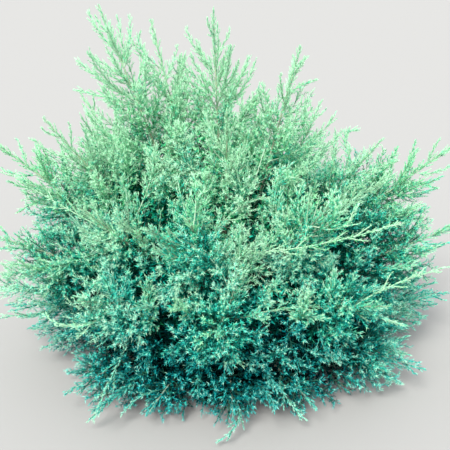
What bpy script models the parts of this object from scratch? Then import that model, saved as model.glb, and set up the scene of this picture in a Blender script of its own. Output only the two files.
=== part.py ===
"""Glauca pfitzer juniper: a low, spreading evergreen shrub with blue-grey foliage.

A short trunk forks near the ground into tiers of boughs. Each bough ends in a
mass of foliage: a stem with a small core, and toothed sprays standing out of it.
Units are metres, +Z is up, the ground is z = 0 and the origin is under the trunk.
"""
import math

import bmesh
import bpy
import numpy as np
from mathutils.bvhtree import BVHTree

SEED = 41

# Trunk: short, and hidden inside the shrub
TRUNK_HEIGHT = 0.120
TRUNK_RADIUS = 0.026
TRUNK_TAPER = 0.06              # share of its radius that it loses on its way up
FLARE_RADIUS = 0.040            # root flare at the ground
FLARE_HEIGHT = 0.022            # height in which the flare dies away
ROOT_LOBES = 5
LOBE_DEPTH = 0.10               # depth of the flare's lobes, as a share of its radius
TRUNK_LEAN = (-0.004, 0.003)    # sideways shift of the fork
TRUNK_SIDES = 16
TRUNK_LEVELS = (0.0, 0.008, 0.018, 0.032, 0.055, 0.090, 0.116, TRUNK_HEIGHT)
FORK_ROUNDING = 0.003           # chamfer round the top of the fork

# Limbs: each tier has its height and ring of feet on the trunk, the arch of its lines, and
# the count, spread and upward pull of its sprays; a limb is its azimuth and rise in degrees
# and the reach of its tip from the origin
TIERS = {
    "low": dict(height=0.036, arch=0.060, ring=0.018, sprays=10, spread=0.190, pull=-0.08, limbs=[
        (8, 11, 0.590), (51, 11, 0.500), (95, 11, 0.460), (139, 11, 0.500), (178, 12, 0.560),
        (216, 8, 0.442), (242, 8, 0.362), (273, 9, 0.350), (303, 9, 0.368), (337, 9, 0.500)]),
    "middle": dict(height=0.066, arch=0.035, ring=0.018, sprays=12, spread=0.200, pull=0.50, limbs=[
        (-4, 34, 0.665), (14, 41, 0.770), (44, 31, 0.620), (86, 36, 0.600), (129, 34, 0.640),
        (174, 45, 0.760), (190, 35, 0.650), (226, 38, 0.545), (268, 38, 0.545), (315, 36, 0.570)]),
    "upper": dict(height=0.094, arch=0.005, ring=0.018, sprays=12, spread=0.200, pull=0.60, limbs=[
        (9, 56, 0.655), (47, 58, 0.670), (82, 60, 0.665), (146, 54, 0.730),
        (180, 57, 0.730), (213, 54, 0.605), (258, 58, 0.620), (309, 58, 0.610)]),
    "crown": dict(height=TRUNK_HEIGHT, arch=-0.01, ring=0.0145, sprays=12, spread=0.185, pull=0.7, limbs=[
        (8, 78, 0.780), (103, 82, 0.830), (128, 70, 0.825), (157, 70, 0.885), (272, 80, 0.680)]),
}
LIMB_SIDES = 6
FOOT_RADIUS = 0.0055            # a limb where it leaves the trunk
TWIG_RADIUS = 0.0032            # where a bough ends and its mass begins
TIP_RADIUS = 0.0009             # a limb's growing tip
MASS_START = 0.34               # share of a limb's line at which its mass begins
SHORT_REACH = 0.370             # a limb this short has no bough: its mass's stem meets the trunk
BEND_SHARE = 0.45               # place of a limb's bend between its foot and its tip
CLEARANCE = 0.0003              # gap between pieces that touch

# Masses of foliage
CORE_RADIUS = 0.054             # small dense core that the sprays stand out of
CORE_RINGS = (0.0, 0.13, 0.34, 0.58, 0.80, 1.0)
CORE_HOLLOWS = 0.70             # radius of a core's hollows, as a share of its lobes
CORE_FILL = 0.92                # share of the free space round its line that a core may take
LEADER_LENGTH = 0.130           # spray that carries the limb's own tip
SPRAY_WIDTH = 0.27              # half width of a spray, as a share of its length
SPRAY_THICKNESS = 0.0038        # half thickness at the ridge
SPRAY_RIDGE = 0.24              # place of the ridge, as a share of a spray's length
SPRAY_OUTLINE = (               # share of a spray's length, share of its half width
    (0.00, 0.00), (0.40, 1.00), (0.49, 0.30), (1.00, 0.00), (0.76, -0.20), (0.68, -0.80))
GOLDEN_ANGLE = 2.39996          # turn from one spray to the next, in radians
FIRST_SPRAY = 0.05              # share of a mass's stem below its first side spray
SPRAYED_SHARE = 0.87            # share of a mass's stem that carries side sprays
TIP_LEAD = 0.012                # least distance of side sprays behind the limb's own tip
SHORTEST_SPRAY = 0.050          # a spray with less room than this is left out
SPRAY_SHORTENING = 0.88         # step by which a spray is shortened until it fits
CELL_MARGIN = 0.0015            # least distance of a mass from the edge of its space
LIMB_MARGIN = 0.0015            # least distance of a spray from another limb
GROUND_MARGIN = 0.010           # least height of any spray above the ground

COLOURS = {                     # base colour and roughness, as seen in the photograph
    "bark": ((0.150, 0.085, 0.055), 0.90),
    "twig": ((0.230, 0.125, 0.085), 0.80),
    "low": ((0.035, 0.190, 0.165), 0.62),
    "middle": ((0.085, 0.300, 0.250), 0.60),
    "upper": ((0.150, 0.400, 0.310), 0.60),
    "crown": ((0.230, 0.480, 0.350), 0.58),
}


def clear_scene():
    for thing in list(bpy.data.objects):
        bpy.data.objects.remove(thing, do_unlink=True)


def make_material(name, kind):
    colour, roughness = COLOURS[kind]
    material = bpy.data.materials.new(name)
    material.use_nodes = True
    shader = material.node_tree.nodes["Principled BSDF"]
    shader.inputs["Base Color"].default_value = (*colour, 1.0)
    shader.inputs["Roughness"].default_value = roughness
    shader.inputs["Metallic"].default_value = 0.0
    material.diffuse_color = (*colour, 1.0)
    return material


def make_object(name, points, faces, material, collection=None):
    mesh = bpy.data.meshes.new(name)
    mesh.from_pydata([tuple(p) for p in points], [], faces)
    mesh.materials.append(material)
    thing = bpy.data.objects.new(name, mesh)
    (collection or bpy.context.scene.collection).objects.link(thing)
    return thing


def unit(vector):
    return vector / np.linalg.norm(vector, axis=-1, keepdims=True)


def direction(azimuth, rise):
    a, e = math.radians(azimuth), math.radians(rise)
    return np.array([math.cos(e) * math.cos(a), math.cos(e) * math.sin(a), math.sin(e)])


def along(line, u):
    """Point of the curve through line's start, bend and end at share u."""
    a, b, c = line
    u = np.asarray(u, float)[..., None]
    return (1 - u) ** 2 * a + 2 * u * (1 - u) * b + u * u * c


def heading(line, u):
    a, b, c = line
    u = np.asarray(u, float)[..., None]
    return unit((1 - u) * (b - a) + u * (c - b))


def trunk_centre(z):
    share = (z / TRUNK_HEIGHT) ** 1.5
    return np.array([TRUNK_LEAN[0] * share, TRUNK_LEAN[1] * share, z])


def trunk_radius(z, angle):
    """A slow taper, and a lobed flare that dies away upwards."""
    flare = math.exp(-z / FLARE_HEIGHT)
    taper = TRUNK_RADIUS * (1.0 - TRUNK_TAPER * z / TRUNK_HEIGHT)
    lobes = 1.0 + LOBE_DEPTH * flare * math.cos(ROOT_LOBES * angle)
    return (taper + (FLARE_RADIUS - TRUNK_RADIUS) * flare) * lobes


def limb_list():
    """Every limb with its line, from its foot in or on the trunk to its tip."""
    limbs = []
    for tier, rule in TIERS.items():
        count = len(rule["limbs"])
        turn = sum(az - i * 360 / count for i, (az, _, _) in enumerate(rule["limbs"])) / count
        for i, (azimuth, rise, reach) in enumerate(rule["limbs"]):
            foot_angle = math.radians(turn + i * 360 / count)
            foot = trunk_centre(rule["height"])
            foot[:2] += rule["ring"] * np.array([math.cos(foot_angle), math.sin(foot_angle)])
            tip = reach * direction(azimuth, rise)
            bend = BEND_SHARE * tip
            bend[2] += (1 - BEND_SHARE) * rule["height"] + rule["arch"]
            line = (foot, bend, tip)
            limbs.append(dict(
                name=f"{tier}_{i + 1}", tier=tier, index=len(limbs), line=line,
                bare_foot=tier != "crown" and reach > SHORT_REACH, on_fork=tier == "crown",
                middle=along(line, 0.5 * (1 + MASS_START)),
                sprays=rule["sprays"], spread=rule["spread"], pull=rule["pull"]))
    return limbs


def limb_radius(limb, u):
    """Radius of the bare limb: foot to twig along the bough, twig to tip in the mass."""
    u = np.asarray(u, float)
    inner = FOOT_RADIUS + (TWIG_RADIUS - FOOT_RADIUS) * u / MASS_START
    outer = TWIG_RADIUS + (TIP_RADIUS - TWIG_RADIUS) * (u - MASS_START) / (1 - MASS_START)
    return np.where(u < MASS_START, inner, outer)


def tube(centres, headings, radii, level_start=False, hollows=1.0):
    """Closed tube with flat ends: a ring round each centre, with lobes turned ring by ring."""
    sides, count = LIMB_SIDES, len(centres)
    side = unit(np.cross(headings, (0.0, 0.0, 1.0)))
    rise = np.cross(side, headings)
    if level_start:
        side[0] = unit(side[0] * (1, 1, 0))
        rise[0] = np.cross(side[0], (0.0, 0.0, 1.0))
    angle = np.arange(sides) * 2 * math.pi / sides
    around = np.cos(angle)[:, None] * side[:, None] + np.sin(angle)[:, None] * rise[:, None]
    lobes = np.ones((count, sides))
    for ring in range(1, count - 1):
        lobes[ring, ring % 2::2] = hollows
    points = (centres[:, None] + (radii[:, None] * lobes)[:, :, None] * around).reshape(-1, 3)
    faces = [tuple(range(sides)), tuple(reversed(range(len(points) - sides, len(points))))]
    for ring in range(count - 1):
        a = ring * sides
        for j in range(sides):
            k = (j + 1) % sides
            faces.append((a + k, a + j, a + sides + j, a + sides + k))
    return points, faces


def face_outwards(thing):
    mesh = bmesh.new()
    mesh.from_mesh(thing.data)
    bmesh.ops.recalc_face_normals(mesh, faces=mesh.faces)
    mesh.to_mesh(thing.data)
    mesh.free()


def build_trunk(name, material, grow=0.0):
    """The trunk from its flat cut on the ground to the fork, or its shape grown by a gap."""
    points = []
    for z in TRUNK_LEVELS:
        rounding = FORK_ROUNDING if z == TRUNK_HEIGHT else 0.0
        centre = trunk_centre(z)
        for j in range(TRUNK_SIDES):
            angle = j * 2 * math.pi / TRUNK_SIDES
            radius = trunk_radius(z, angle) - rounding + grow
            points.append(centre + radius * np.array([math.cos(angle), math.sin(angle), 0.0]))
    n = TRUNK_SIDES
    faces = [tuple(reversed(range(n))), tuple(range(len(points) - n, len(points)))]
    for ring in range(len(TRUNK_LEVELS) - 1):
        a = ring * n
        faces += [(a + j, a + (j + 1) % n, a + n + (j + 1) % n, a + n + j) for j in range(n)]
    return make_object(name, points, faces, material)


def seat_on_trunk(thing, cutter):
    """Cut a limb's foot to the trunk's side, clear of it by the gap that the cutter holds."""
    cut = thing.modifiers.new("seat on the trunk", "BOOLEAN")
    cut.operation = "DIFFERENCE"
    cut.solver = "EXACT"
    cut.object = cutter


def build_bough(limb, cutter, material):
    """One tapering limb from the trunk's side to the place where its mass begins."""
    line = limb["line"]
    length = np.linalg.norm(line[2] - line[0])
    end = MASS_START - 0.5 * CLEARANCE / length
    u = np.array([0.0, 0.5 * MASS_START, end])
    points, faces = tube(along(line, u), heading(line, u), limb_radius(limb, u))
    bough = make_object(f"bough_{limb['name']}", points, faces, material)
    face_outwards(bough)
    seat_on_trunk(bough, cutter)


def depth_in_cell(points, limb, limbs):
    """Distance of points inside the space nearer to this mass than to any other."""
    own = limb["middle"]
    others = np.array([other["middle"] for other in limbs if other is not limb])
    across = others - own
    halfway = 0.5 * (others + own)
    beyond = ((points[:, None] - halfway[None]) * unit(across)[None]).sum(-1)
    return -beyond.max(axis=1)


def limb_samples(limbs):
    u = np.linspace(0, 1, 41)
    return {limb["name"]: along(limb["line"], u) for limb in limbs}


def core_radius(limb, limbs, samples, s, u):
    """Stem radius swollen to a core where the mass's own space is wide enough for it."""
    centres = along(limb["line"], u)
    swell = CORE_RADIUS * np.clip(np.sin(math.pi * s ** 0.85), 0, 1) ** 0.9
    room = depth_in_cell(centres, limb, limbs) - CELL_MARGIN
    for name, path in samples.items():
        if name != limb["name"]:
            gaps = np.linalg.norm(centres[:, None] - path[None], axis=2).min(axis=1)
            room = np.minimum(room, gaps - FOOT_RADIUS - LIMB_MARGIN)
    room = np.minimum(room, centres[:, 2] - GROUND_MARGIN)
    return np.maximum(limb_radius(limb, u), np.minimum(swell, room * CORE_FILL))


def build_stem(limb, limbs, samples, cutter, material):
    """A mass's stem with its core, from the bough's tip or the trunk to the limb's tip."""
    line = limb["line"]
    length = np.linalg.norm(line[2] - line[0])
    s = np.array(CORE_RINGS)
    u = MASS_START + (1 - MASS_START) * s
    radii = core_radius(limb, limbs, samples, s, u)
    if limb["bare_foot"]:
        u[0] += 0.5 * CLEARANCE / length
    else:
        foot = np.array([0.0, 0.5 * MASS_START])
        u = np.concatenate([foot, u])
        radii = np.concatenate([limb_radius(limb, foot), radii])
    centres = along(line, u)
    if limb["on_fork"]:
        centres[0][2] += CLEARANCE
    points, faces = tube(centres, heading(line, u), radii,
                         level_start=limb["on_fork"], hollows=CORE_HOLLOWS)
    stem = make_object(f"mass_{limb['name']}", points, faces, material)
    face_outwards(stem)
    if not limb["bare_foot"] and not limb["on_fork"]:
        seat_on_trunk(stem, cutter)
    return stem


def spray(root, bend, tip, across, half_width):
    """Toothed blade: teeth to both sides in turn, thickest at one point of its middle."""
    line = (root, 2 * bend - 0.5 * (root + tip), tip)
    half = unit(np.cross(tip - root, across)) * SPRAY_THICKNESS
    rim = [along(line, u) + across * half_width * w for u, w in SPRAY_OUTLINE]
    ridge = along(line, SPRAY_RIDGE)
    count = len(rim)
    points = np.array(rim + [ridge + half, ridge - half])
    faces = [(i, (i + 1) % count, count) for i in range(count)]
    faces += [((i + 1) % count, i, count + 1) for i in range(count)]
    return points, faces


def spray_lines(limb):
    """Root, two headings, sideways axis and length of each side spray of a mass."""
    rng = np.random.default_rng(SEED * 1000 + limb["index"])
    turn = rng.uniform(0, 2 * math.pi)
    lines = []
    for j in range(limb["sprays"]):
        s = FIRST_SPRAY + SPRAYED_SHARE * (j + 0.5) / limb["sprays"]
        u = MASS_START + (1 - MASS_START) * s
        stem = heading(limb["line"], u)
        side = unit(np.cross(stem, (0.0, 0.0, 1.0)))
        outward = math.cos(turn + j * GOLDEN_ANGLE) * side \
            + math.sin(turn + j * GOLDEN_ANGLE) * np.cross(side, stem)
        opening = math.radians((64 - 30 * s) * rng.uniform(0.88, 1.12))
        first = math.cos(opening) * stem + math.sin(opening) * outward
        length = limb["spread"] * (1.15 - 0.55 * s * s) * rng.uniform(0.85, 1.15)
        roll = rng.uniform(-0.7, 0.7)
        across = unit(np.cross(first, outward))
        across = math.cos(roll) * across + math.sin(roll) * np.cross(first, across)
        later = unit(0.6 * first + 0.4 * unit(0.8 * stem + (0.0, 0.0, limb["pull"])))
        lines.append(dict(root=along(limb["line"], u), first=first, later=later,
                          across=across, length=length))
    return lines


def fitted_spray(line, limb, limbs, obstacles):
    """The spray as long as its space and the limb's tip let it be, or nothing if it meets a limb."""
    length = line["length"]
    limb_tip, limb_heading = limb["line"][2], heading(limb["line"], 1.0)
    while length > SHORTEST_SPRAY:
        bend = line["root"] + 0.5 * length * line["first"]
        tip = bend + 0.5 * length * line["later"]
        points, faces = spray(line["root"], bend, tip, line["across"], SPRAY_WIDTH * length)
        inside = depth_in_cell(points[1:], limb, limbs).min() > CELL_MARGIN
        behind = ((points - limb_tip) @ limb_heading).max() < -TIP_LEAD
        if inside and behind and points[:, 2].min() > GROUND_MARGIN:
            tree = BVHTree.FromPolygons([tuple(p) for p in points], faces)
            if not any(tree.overlap(other) for other in obstacles):
                return points, faces
        length *= SPRAY_SHORTENING
    return None


def keep_outer_body(thing):
    """Drop loose scraps and the walls of sealed hollows, leaving the one outer skin."""
    mesh = bmesh.new()
    mesh.from_mesh(thing.data)
    bmesh.ops.triangulate(mesh, faces=mesh.faces)
    unseen = set(mesh.faces)
    bodies = []
    while unseen:
        first = unseen.pop()
        body, front = [first], [first]
        while front:
            for edge in front.pop().edges:
                for near in edge.link_faces:
                    if near in unseen:
                        unseen.discard(near)
                        body.append(near)
                        front.append(near)
        bodies.append(body)
    best = max(bodies, key=lambda body: sum(
        face.verts[0].co.dot(face.verts[1].co.cross(face.verts[2].co)) for face in body))
    rest = [face for body in bodies if body is not best for face in body]
    bmesh.ops.delete(mesh, geom=rest, context="FACES")
    mesh.to_mesh(thing.data)
    mesh.free()


def join_sprays(stem, pieces, material):
    """Fuse the sprays to their stem with one union over a collection."""
    group = bpy.data.collections.new(f"sprays of {stem.name}")
    bpy.context.scene.collection.children.link(group)
    for i, (points, faces) in enumerate(pieces):
        face_outwards(make_object(f"spray {i}", points, faces, material, group))
    fuse = stem.modifiers.new("fuse", "BOOLEAN")
    fuse.operation = "UNION"
    fuse.solver = "EXACT"
    fuse.operand_type = "COLLECTION"
    fuse.collection = group
    graph = bpy.context.evaluated_depsgraph_get()
    fused = bpy.data.meshes.new_from_object(stem.evaluated_get(graph))
    stem.modifiers.clear()
    stem.data = fused
    for thing in list(group.objects):
        bpy.data.objects.remove(thing, do_unlink=True)
    bpy.data.collections.remove(group)
    keep_outer_body(stem)


def obstacle_trees(limb, limbs, cutter):
    """Search trees of the trunk, every other limb and this limb's own bough, a little grown."""
    trees = [BVHTree.FromPolygons([v.co for v in cutter.data.vertices],
                                  [tuple(f.vertices) for f in cutter.data.polygons])]
    for other in limbs:
        if other is limb and not limb["bare_foot"]:
            continue
        u = np.linspace(0, MASS_START - 0.01 if other is limb else 1, 12)
        points, faces = tube(along(other["line"], u), heading(other["line"], u),
                             limb_radius(other, u) + LIMB_MARGIN)
        trees.append(BVHTree.FromPolygons([tuple(p) for p in points], faces))
    return trees


def leader_line(limb):
    """The spray that carries the limb's own tip, along the end of its line."""
    tip = limb["line"][2]
    length = np.linalg.norm(tip - limb["line"][0])
    u = np.array([1 - LEADER_LENGTH / length, 1 - 0.5 * LEADER_LENGTH / length])
    root, bend = along(limb["line"], u)
    across = unit(np.cross(tip - root, (0.0, 0.0, 1.0)))
    return root, bend, tip, across


def main():
    clear_scene()
    bark = make_material("bark", "bark")
    trunk = build_trunk("trunk", bark)
    cutter = build_trunk("trunk with gap", bark, grow=CLEARANCE)
    cutter.hide_render = True
    cutter.display_type = "WIRE"
    trunk.data.shade_smooth()
    trunk.data.set_sharp_from_angle(angle=math.radians(40))

    limbs = limb_list()
    samples = limb_samples(limbs)
    for limb in limbs:
        if limb["bare_foot"]:
            build_bough(limb, cutter, make_material(f"bark of {limb['name']}", "twig"))
        foliage = make_material(f"needles of {limb['name']}", limb["tier"])
        stem = build_stem(limb, limbs, samples, cutter, foliage)
        obstacles = obstacle_trees(limb, limbs, cutter)
        pieces = [fitted_spray(line, limb, limbs, obstacles) for line in spray_lines(limb)]
        root, bend, tip, across = leader_line(limb)
        pieces.append(spray(root, bend, tip, across, SPRAY_WIDTH * LEADER_LENGTH))
        join_sprays(stem, [piece for piece in pieces if piece], foliage)


main()
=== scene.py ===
import math

import bpy
import numpy as np
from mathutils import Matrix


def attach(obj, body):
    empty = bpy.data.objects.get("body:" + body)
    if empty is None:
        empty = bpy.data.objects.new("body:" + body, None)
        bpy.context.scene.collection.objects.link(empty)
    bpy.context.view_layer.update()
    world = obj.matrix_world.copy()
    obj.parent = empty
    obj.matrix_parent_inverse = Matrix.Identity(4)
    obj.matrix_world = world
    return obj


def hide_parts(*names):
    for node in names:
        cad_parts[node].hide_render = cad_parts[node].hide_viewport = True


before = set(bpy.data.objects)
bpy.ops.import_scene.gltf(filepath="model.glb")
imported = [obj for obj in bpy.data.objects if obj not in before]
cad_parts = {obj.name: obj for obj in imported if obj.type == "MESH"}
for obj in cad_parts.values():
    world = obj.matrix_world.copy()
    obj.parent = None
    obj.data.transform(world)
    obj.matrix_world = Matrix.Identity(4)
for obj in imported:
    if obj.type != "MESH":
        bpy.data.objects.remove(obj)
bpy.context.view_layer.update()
print("frame loaded:", len(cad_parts), "nodes")

up = np.array([0.0, 0.0, 1.0])
goldenAngle = 2.39996

# how the plant grows: the same limbs and side sprays as its solids, in metres and degrees
growth = dict(
    seed=41,
    trunkHeight=0.120,
    trunkLean=(-0.004, 0.003),
    leanPower=1.5,
    massStart=0.34,            # share of a limb at which its foliage begins
    bendShare=0.45,            # share of the way to its tip at which a limb bends
    openRoot=64, openLess=30, openUneven=(0.88, 1.12),        # how far side sprays open from the limb
    longRoot=1.15, longLess=0.55, longUneven=(0.85, 1.15),    # their length against the tier's spread
    bladeRoll=(-0.7, 0.7),
    onward=0.6, stemShare=0.8,     # how much of a spray's first direction, and of the limb's, its end keeps
    lanceLeast=0.028,              # length that a side spray may have at the limb's tip
    leaderLength=0.130,
    tipLead=0.012,                 # how far side sprays stay behind the tip of their limb
    shortening=0.88,
    lowestSpray=0.020, groundMargin=0.012,
)
# each tier: height and ring of the feet, arch of the limbs, their side sprays, and azimuth, rise and reach
tiers = {
    "low": dict(height=0.036, arch=0.060, ring=0.018, sprays=10, spread=0.190, pull=-0.08, lance=0.55, limbs=[
        (8, 11, 0.590), (51, 11, 0.500), (95, 11, 0.460), (139, 11, 0.500), (178, 12, 0.560),
        (216, 8, 0.442), (242, 8, 0.362), (273, 9, 0.350), (303, 9, 0.368), (337, 9, 0.500)]),
    "middle": dict(height=0.066, arch=0.035, ring=0.018, sprays=12, spread=0.200, pull=0.50, lance=0.44, limbs=[
        (-4, 34, 0.665), (14, 41, 0.770), (44, 31, 0.620), (86, 36, 0.600), (129, 34, 0.640),
        (174, 45, 0.760), (190, 35, 0.650), (226, 38, 0.545), (268, 38, 0.545), (315, 36, 0.570)]),
    "upper": dict(height=0.094, arch=0.005, ring=0.018, sprays=12, spread=0.200, pull=0.60, lance=0.46, limbs=[
        (9, 56, 0.655), (47, 58, 0.670), (82, 60, 0.665), (146, 54, 0.730),
        (180, 57, 0.730), (213, 54, 0.605), (258, 58, 0.620), (309, 58, 0.610)]),
    "crown": dict(height=0.120, arch=-0.01, ring=0.0145, sprays=12, spread=0.185, pull=0.7, lance=0.42, limbs=[
        (8, 78, 0.780), (103, 82, 0.830), (128, 70, 0.825), (157, 70, 0.885), (272, 80, 0.680)]),
}


# vectors divided by their lengths
def unit(vectors):
    return vectors / np.maximum(np.linalg.norm(vectors, axis=-1, keepdims=True), 1e-12)


# point of a line at share u: start, bend and end weighed by (1 - u) squared, 2 u (1 - u) and u squared
def along(line, u):
    a, b, c = line
    u = np.asarray(u, float)[..., None]
    return (1 - u) ** 2 * a + 2 * u * (1 - u) * b + u * u * c


# direction of that line at share u: its first and last directions weighed by 1 - u and u
def heading(line, u):
    a, b, c = line
    u = np.asarray(u, float)[..., None]
    return unit((1 - u) * (b - a) + u * (c - b))


# middle of the trunk at a height: it leans more the nearer it comes to its fork
def trunkCentre(z):
    share = (z / growth["trunkHeight"]) ** growth["leanPower"]
    return np.array([growth["trunkLean"][0] * share, growth["trunkLean"][1] * share, z])


# each tier's feet stand evenly round the trunk, each tip lies at its azimuth, rise and reach,
# and the bend, part of the way to the tip, is lifted by the tier's arch
def limbList():
    limbs = []
    for tier, rule in tiers.items():
        count = len(rule["limbs"])
        turn = sum(az - i * 360 / count for i, (az, _, _) in enumerate(rule["limbs"])) / count
        for i, (azimuth, rise, reach) in enumerate(rule["limbs"]):
            footAngle = math.radians(turn + i * 360 / count)
            foot = trunkCentre(rule["height"])
            foot[:2] += rule["ring"] * np.array([math.cos(footAngle), math.sin(footAngle)])
            a, e = math.radians(azimuth), math.radians(rise)
            tip = reach * np.array([math.cos(e) * math.cos(a), math.cos(e) * math.sin(a), math.sin(e)])
            bend = growth["bendShare"] * tip
            bend[2] += (1 - growth["bendShare"]) * rule["height"] + rule["arch"]
            line = (foot, bend, tip)
            limbs.append(dict(name=f"{tier}_{i + 1}", tier=tier, index=len(limbs), line=line, reach=reach,
                              middle=along(line, 0.5 * (1 + growth["massStart"]))))
    return limbs


# distance of points inside the space nearer to this limb's foliage than to any other's: how far
# they lie short of the nearest plane halfway between the middles of the two
def depthInCell(points, limb, limbs):
    own = limb["middle"]
    others = np.array([other["middle"] for other in limbs if other is not limb])
    beyond = ((points[:, None] - 0.5 * (others + own)[None]) * unit(others - own)[None]).sum(-1)
    return -beyond.max(axis=1)


# side sprays round a limb, each a golden angle further round: they open less towards the tip, are
# no longer than the lance form of the arm allows, bend towards the limb's own direction and up, and
# are shortened until they keep to their limb's space
def sideSprays(limb, limbs, rule):
    tier = tiers[limb["tier"]]
    rng = np.random.default_rng(growth["seed"] * 1000 + limb["index"] + rule["stream"])
    turn = rng.uniform(0, 2 * math.pi)
    limbTip, limbHeading = limb["line"][2], heading(limb["line"], 1.0)
    count = round(tier["sprays"] * rule["many"][limb["tier"]])
    sprays = []
    for j in range(count):
        s = rule["first"] + rule["share"] * (j + 0.5) / count      # share of the way through the foliage
        u = growth["massStart"] + (1 - growth["massStart"]) * s
        root, stem = along(limb["line"], u), heading(limb["line"], u)
        side = unit(np.cross(stem, up))
        outward = math.cos(turn + j * goldenAngle) * side \
            + math.sin(turn + j * goldenAngle) * np.cross(side, stem)
        opening = math.radians((growth["openRoot"] - growth["openLess"] * s) * rng.uniform(*growth["openUneven"]))
        first = math.cos(opening) * stem + math.sin(opening) * outward
        length = rule["long"] * tier["spread"] * (growth["longRoot"] - growth["longLess"] * s * s) \
            * rng.uniform(*growth["longUneven"])
        rng.uniform(*growth["bladeRoll"])      # turns the blade of the solid: drawn so that the next ones agree
        later = unit(growth["stemShare"] * stem + (0.0, 0.0, tier["pull"] + rule["rise"]))
        later = unit(growth["onward"] * first + (1 - growth["onward"]) * later)
        toTip = np.linalg.norm(limbTip - root)
        length = min(length, growth["lanceLeast"] + (tier["lance"] + rule["lance"]) * toTip)
        while length > rule["shortest"]:
            middle = root + 0.5 * length * first
            tip = middle + 0.5 * length * later
            points = np.array([middle, 0.5 * (middle + tip), tip])
            inside = depthInCell(points, limb, limbs).min() > rule["margin"]
            behind = ((points - limbTip) @ limbHeading).max() < -growth["tipLead"]
            if inside and behind and points[:, 2].min() > growth["lowestSpray"]:
                sprays.append((root, 2 * middle - 0.5 * (root + tip), tip, toTip, s))
                break
            length *= growth["shortening"]
    return sprays


# shoots are lines held as arrays: start a, bend b, end c, length, tone from 0, dark, to 1, pale, and
# hue from 0, the blue of the skirt, to about 2.5, the sage green of the crown
def shootSet(a, b, c, tone, hue):
    length = np.linalg.norm(b - a, axis=1) + np.linalg.norm(c - b, axis=1)
    return dict(a=a, b=b, c=c, length=length, tone=tone, hue=hue)


# start, bend and end of the picked shoots
def lineOf(shoots, pick):
    return shoots["a"][pick], shoots["b"][pick], shoots["c"][pick]


# several sets of shoots as one
def together(*sets):
    return {key: np.concatenate([shoots[key] for shoots in sets]) for key in sets[0]}


# the shoots of a set that are kept
def subset(shoots, keep):
    return {key: value[keep] for key, value in shoots.items()}


# two axes square to each direction: level to its side, or square to x where it is nearly upright,
# and square to both
def squareAxes(direction):
    side = np.cross(direction, up)
    upright = np.linalg.norm(side, axis=-1) < 0.15
    side[upright] = np.cross(direction[upright], np.array([1.0, 0.0, 0.0]))
    side = unit(side)
    return side, np.cross(side, direction)


# points round a middle: the cosine and sine of each angle along the two square axes
def circleOf(angle, side, other):
    return np.cos(angle)[..., None] * side + np.sin(angle)[..., None] * other


# how many small things each shoot carries, one every pitch, and for each of them its shoot, its
# number there and its share of the way along them
def spacing(shoots, rule):
    span = rule["last"] - rule["first"]
    count = np.maximum(rule.get("least", 1), np.round(shoots["length"] * span / rule["pitch"])).astype(int)
    pick = np.repeat(np.arange(len(count)), count)
    place = np.arange(len(pick)) - np.repeat(np.cumsum(count) - count, count)
    return span, count, pick, place, (place + 0.5) / count[pick]


# how every finer shoot bends: shares of its first direction kept, and how uneven its place, turn,
# opening and length are
shootForm = dict(onward=0.55, place=(0.2, 0.8), turn=0.25, opening=(0.8, 1.2), size=(0.72, 1.2))


# finer shoots along each shoot: one every pitch, turned by the golden angle, opening and
# shortening from the first share to the last, then bending back towards the shoot and up
def growShoots(shoots, rule, rng):
    span, count, pick, place, grade = spacing(shoots, rule)
    u = rule["first"] + span * (place + rng.uniform(*shootForm["place"], len(pick))) / count[pick]
    line = lineOf(shoots, pick)
    root, stem = along(line, u), heading(line, u)
    side, other = squareAxes(stem)
    turn = rng.uniform(0, 2 * math.pi, len(count))[pick] + place * goldenAngle
    turn = turn + rng.normal(0, shootForm["turn"], len(pick))
    opening = np.radians(rule["openLow"] + (rule["openHigh"] - rule["openLow"]) * grade)
    opening = (opening * rng.uniform(*shootForm["opening"], len(pick)))[:, None]
    first = np.cos(opening) * stem + np.sin(opening) * circleOf(turn, side, other)
    size = rule["sizeLow"] + (rule["sizeHigh"] - rule["sizeLow"]) * grade ** rule["power"]
    length = shoots["length"][pick] * size * rng.uniform(*shootForm["size"], len(pick))
    length = np.clip(length, rule["shortest"], rule["longest"])[:, None]
    later = unit(shootForm["onward"] * first + (1 - shootForm["onward"]) * unit(stem + rule["lift"] * up))
    bend = root + 0.5 * length * first
    tip = bend + 0.5 * length * later
    tip[:, 2] = np.maximum(tip[:, 2], growth["groundMargin"])
    # tone from toneLow at the shoot's base to toneHigh at its end: paler new growth at the end, and painted shade at
    # the base, in the gaps between sprays
    tone = shoots["tone"][pick] + rule["toneLow"] + (rule["toneHigh"] - rule["toneLow"]) * grade
    tone = tone + rng.normal(0, rule["toneSpread"], len(pick))
    hue = shoots["hue"][pick] + rng.normal(0, rule["hueSpread"], len(pick))
    return shootSet(root, bend, tip, tone, hue)


# twigs: rings of three points along each shoot, their radius going from low to high, and a point at
# its end, joined ring to ring by pairs of triangles
def twigMesh(shoots, radiusLow, radiusHigh, rings):
    n = len(shoots["length"])
    line = lineOf(shoots, slice(None))
    angle = np.broadcast_to(np.arange(3) * 2 * math.pi / 3, (n, 3))
    points = []
    for step in np.linspace(0, 1, rings + 1)[:-1]:
        middle, stem = along(line, np.full(n, step)), heading(line, np.full(n, step))
        side, other = squareAxes(stem)
        radius = radiusLow + (radiusHigh - radiusLow) * step
        points.append(middle[:, None] + radius * circleOf(angle, side[:, None], other[:, None]))
    points = np.concatenate(points + [shoots["c"][:, None]], axis=1)
    faces = []
    for low in range(0, 3 * (rings - 1), 3):
        for j, k in ((0, 1), (1, 2), (2, 0)):
            faces += [(low + k, low + j, low + 3 + j), (low + k, low + 3 + j, low + 3 + k)]
    top, perShoot = 3 * (rings - 1), 3 * rings + 1
    faces += [(top + k, top + j, perShoot - 1) for j, k in ((0, 1), (1, 2), (2, 0))]
    faces = np.array(faces)[None] + (np.arange(n) * perShoot)[:, None, None]
    return points.reshape(-1, 3), faces.reshape(-1, 3)
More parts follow.
